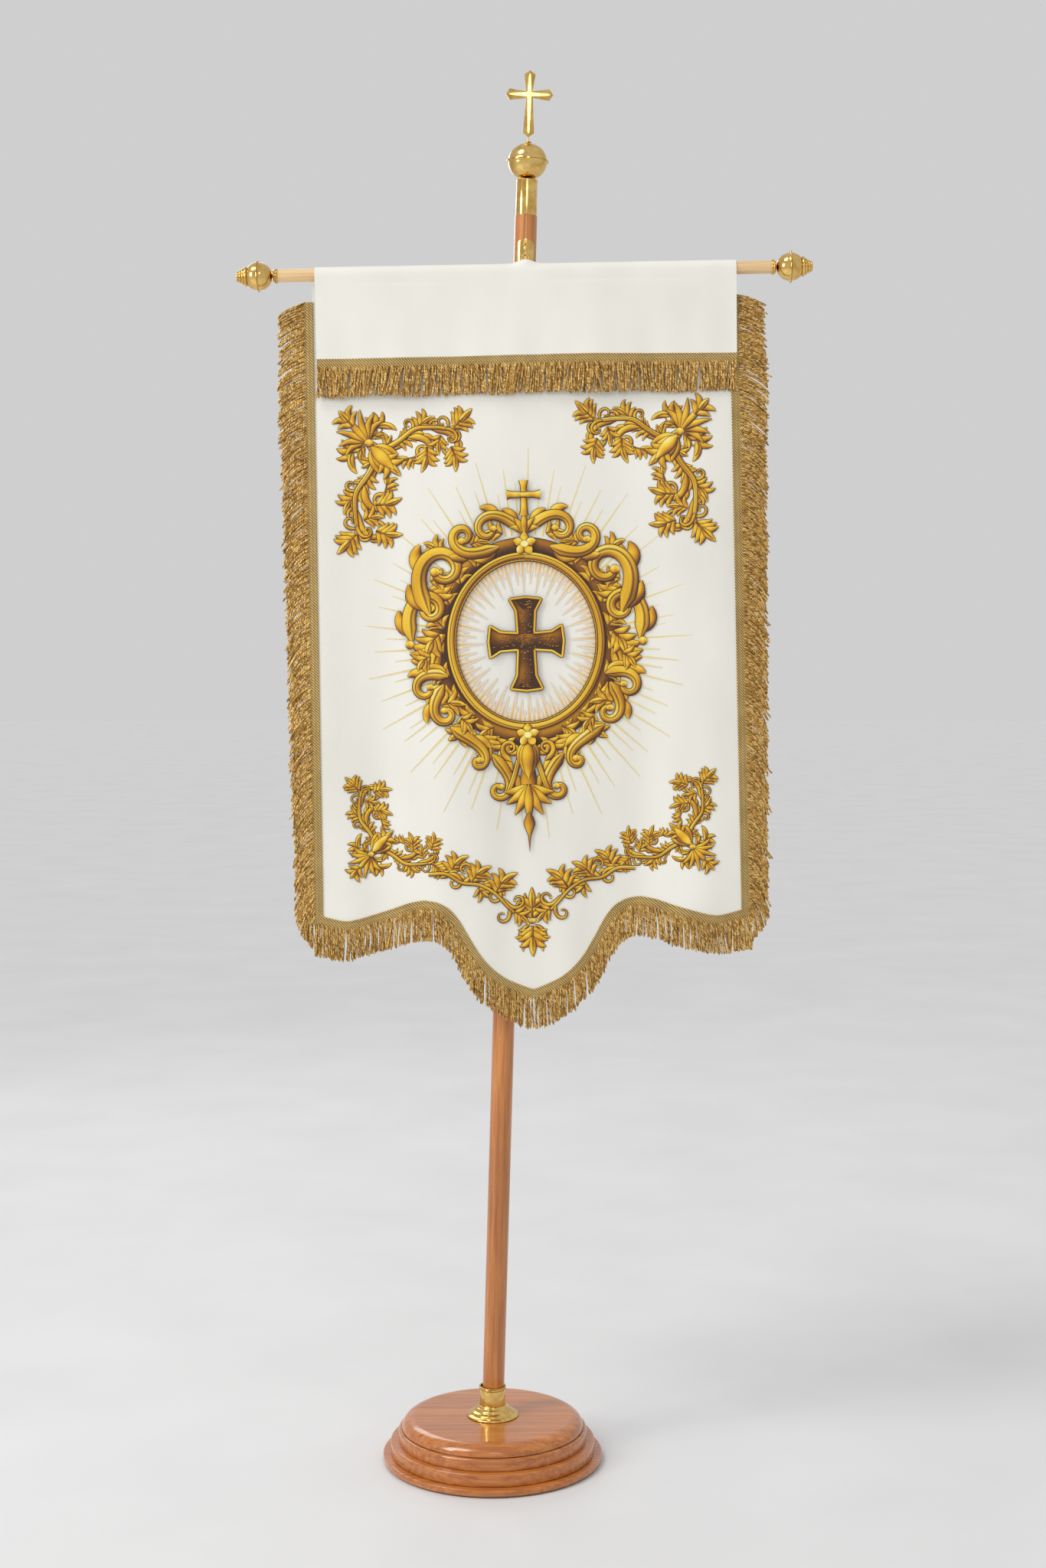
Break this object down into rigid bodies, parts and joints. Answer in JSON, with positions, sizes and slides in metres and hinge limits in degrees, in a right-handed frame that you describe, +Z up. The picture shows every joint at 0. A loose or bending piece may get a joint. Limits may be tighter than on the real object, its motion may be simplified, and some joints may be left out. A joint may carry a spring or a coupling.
{
  "type": "banner pole on floor stand",
  "caption": "Round stepped wooden floor stand with a brass socket, a tall wooden pole with a ball and cross finial, and a hanging crossbar that carries a fringed satin banner.",
  "frame": {"origin": "centre of the base's underside, on the floor", "axes": "+Z up along the base's axis, -Y towards the front of the banner, +X to the right seen from the front"},
  "size_m": [0.8921, 0.352, 2.2027],
  "materials": {
    "stained_wood": "orange-brown stained beech under gloss lacquer",
    "pale_wood": "pale natural wood, satin varnish",
    "brass": "polished and lacquered",
    "steel": "zinc plated",
    "cast_iron": "black painted",
    "satin": "warm white satin",
    "gold_braid": "antique gold bullion thread",
    "felt": "dark green felt"
  },
  "bodies": {
    "base": {"floor_felt": "felt", "base_bottom_disc": "stained_wood", "base_weight": "cast_iron", "base_middle_disc": "stained_wood", "base_top_disc": "stained_wood", "base_bolt": "steel", "bolt_washer": "steel", "disc_screw_1": "steel", "disc_screw_2": "steel", "disc_screw_3": "steel", "disc_screw_4": "steel", "socket_flange": "brass", "socket_tube": "brass", "socket_plug": "brass", "socket_rim": "brass", "socket_set_screw": "brass"},
    "seat": {"socket_pad": "felt"},
    "pole": {"pole": "stained_wood", "finial_sleeve": "brass", "sleeve_screw": "brass", "finial_rod": "steel", "ball_lower": "brass", "ball_upper": "brass", "ball_collar": "brass", "cross_stem": "brass", "cross": "brass", "hook_plate": "brass", "plate_screw": "brass", "plate_eye": "brass"},
    "swivel": {"snap_swivel": "brass"},
    "hook": {"snap_hook": "brass", "gate_pin": "steel"},
    "gate": {"snap_gate": "brass"},
    "ring": {"hanger_ring": "brass"},
    "bar": {"crossbar": "pale_wood", "bar_eye": "brass", "end_collar_left": "brass", "end_ball_inner_left": "brass", "end_ball_outer_left": "brass", "end_tip_left": "brass", "end_stud_left": "steel", "end_collar_right": "brass", "end_ball_inner_right": "brass", "end_ball_outer_right": "brass", "end_tip_right": "brass", "end_stud_right": "steel", "banner_sleeve": "satin", "banner_body": "satin", "banner_valance": "satin", "valance_header": "gold_braid", "valance_fringe": "gold_braid", "side_header_left": "gold_braid", "side_header_right": "gold_braid", "side_fringe_left": "gold_braid", "side_fringe_right": "gold_braid", "bottom_header": "gold_braid", "bottom_fringe": "gold_braid"}
  },
  "joints": [
    {"name": "pole_turn", "type": "hinge", "parent": "base", "child": "seat", "pos_m": [0, 0, 0.067], "axis": [0.0282, 0, 0.9996], "continuous": true},
    {"name": "pole_lift", "type": "slide", "parent": "seat", "child": "pole", "axis": [0.0282, 0, 0.9996], "range_m": [0, 0.07]},
    {"name": "hook_tilt", "type": "hinge", "parent": "pole", "child": "swivel", "pos_m": [0.05248, -0.04, 1.9285], "axis": [0, 1, 0], "range_deg": [-3, 3]},
    {"name": "hook_swivel", "type": "hinge", "parent": "swivel", "child": "hook", "pos_m": [0.05248, -0.04, 1.92], "axis": [0, 0, 1], "range_deg": [-10, 10]},
    {"name": "gate_open", "type": "hinge", "parent": "hook", "child": "gate", "pos_m": [0.05248, -0.0425, 1.9186], "axis": [1, 0, 0], "range_deg": [0, 30], "stiffness_Nm_per_rad": 0.002, "springref_deg": -28.65},
    {"name": "ring_tilt", "type": "hinge", "parent": "hook", "child": "ring", "pos_m": [0.05248, -0.04, 1.9105], "axis": [0, 1, 0], "range_deg": [-3, 3]},
    {"name": "bar_swing", "type": "hinge", "parent": "ring", "child": "bar", "pos_m": [0.05248, -0.04, 1.9004], "axis": [-1, 0, 0], "range_deg": [0, 45]}
  ]
}
